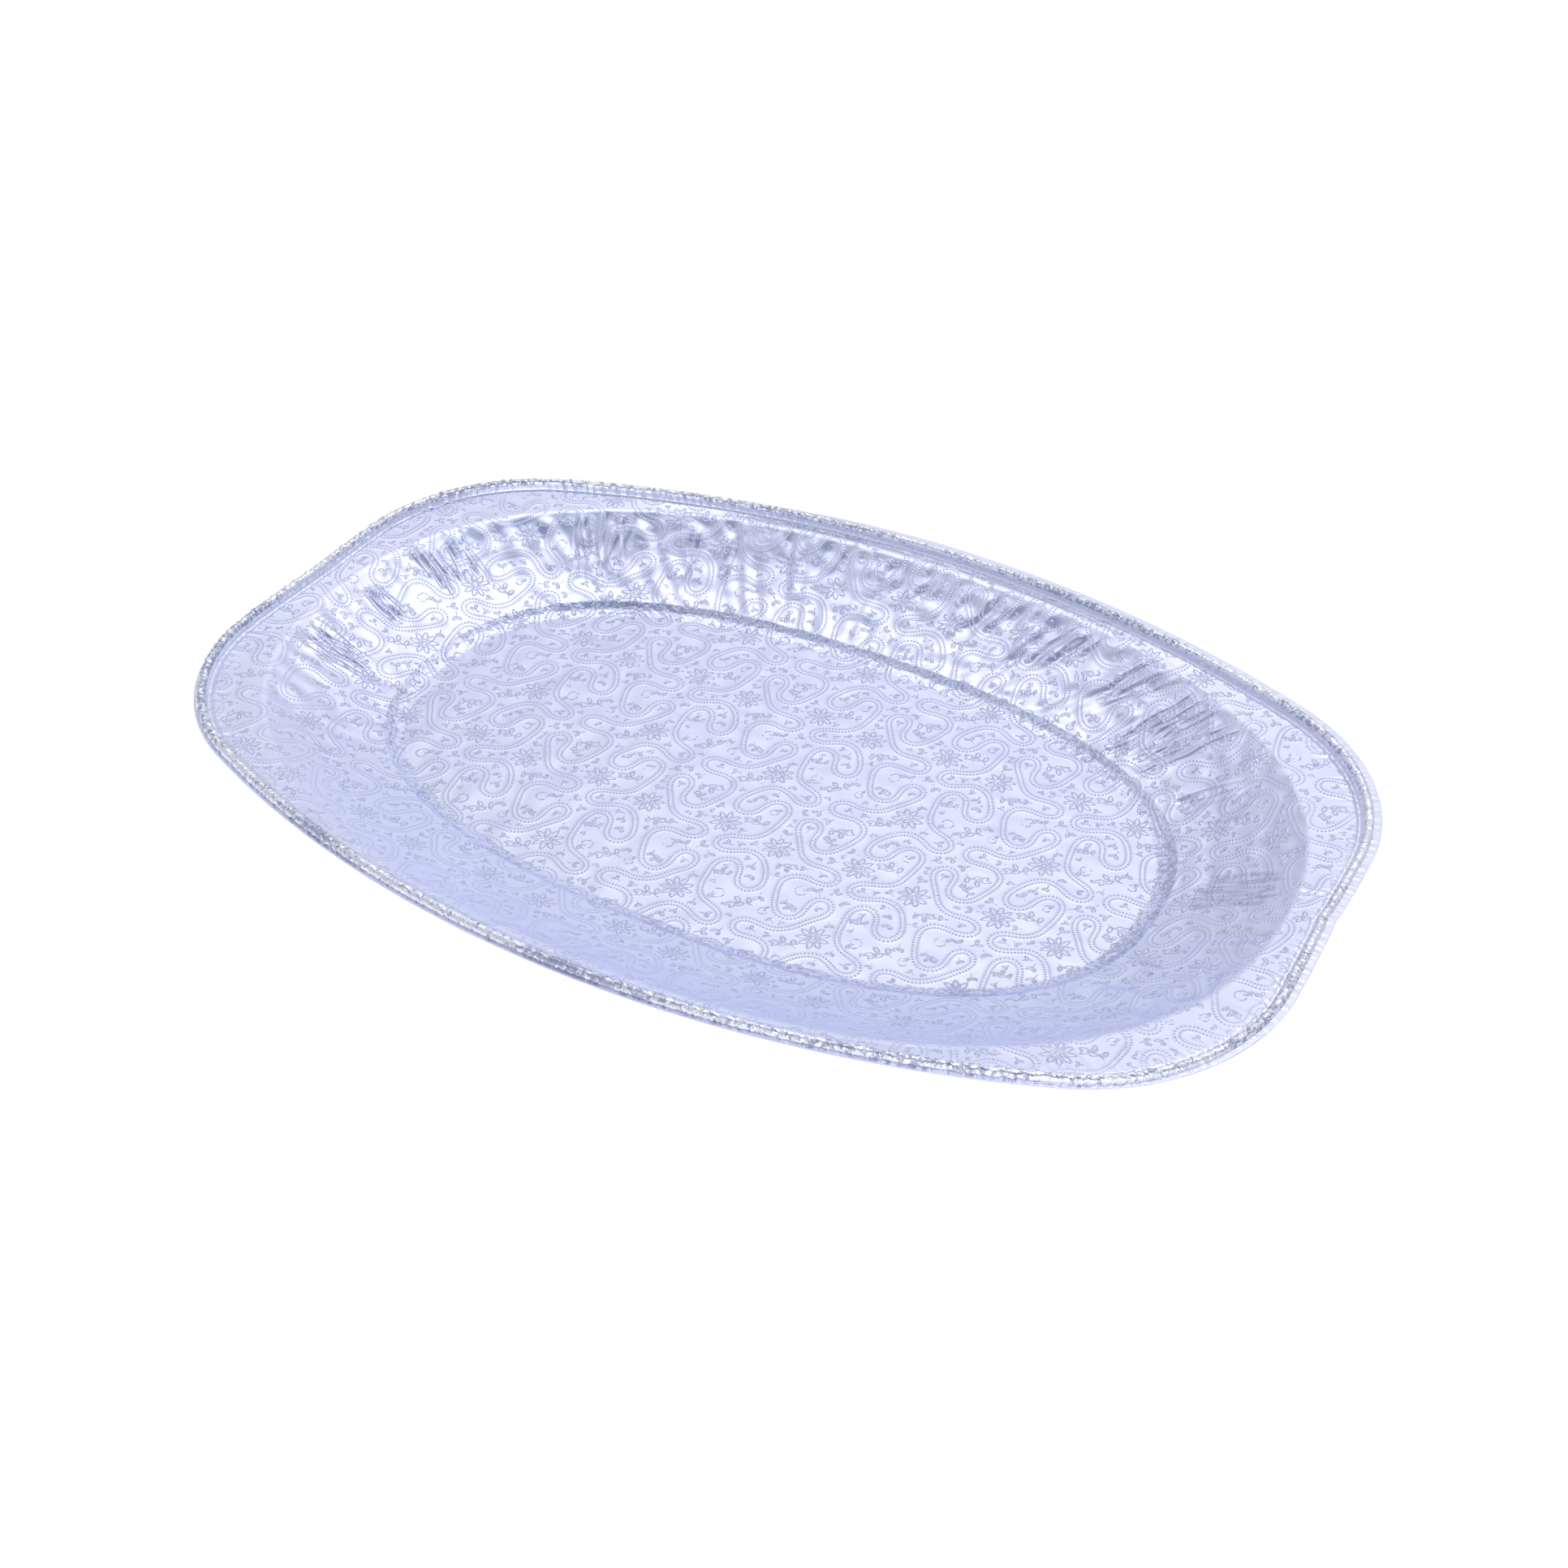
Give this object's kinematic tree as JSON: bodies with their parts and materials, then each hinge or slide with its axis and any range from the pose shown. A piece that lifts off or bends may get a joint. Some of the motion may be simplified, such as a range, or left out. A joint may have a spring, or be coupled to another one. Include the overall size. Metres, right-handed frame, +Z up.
{
  "type": "oval foil serving tray",
  "caption": "Shallow oval serving tray of embossed aluminium foil, with a stepped floor, a wide sloped wall, a flat rim and a curled edge.",
  "frame": {"origin": "centre of the floor's underside, at the bottom centre of the bounding box", "axes": "+X along the tray's length, +Y across it, +Z up, the way the well opens"},
  "size_m": [0.43, 0.297, 0.0265],
  "materials": {
    "floor_foil": "bright embossed foil",
    "wall_foil": "bright embossed foil, creased by the pressing",
    "rim_foil": "bright embossed foil",
    "edge_foil": "bright rolled foil"
  },
  "bodies": {
    "root": {"base_panel": "floor_foil", "base_step": "wall_foil", "side_wall": "wall_foil", "wall_shoulder": "wall_foil", "rim_flange": "rim_foil", "rim_groove": "rim_foil", "rolled_edge": "edge_foil", "edge_lip": "edge_foil"}
  },
  "joints": []
}
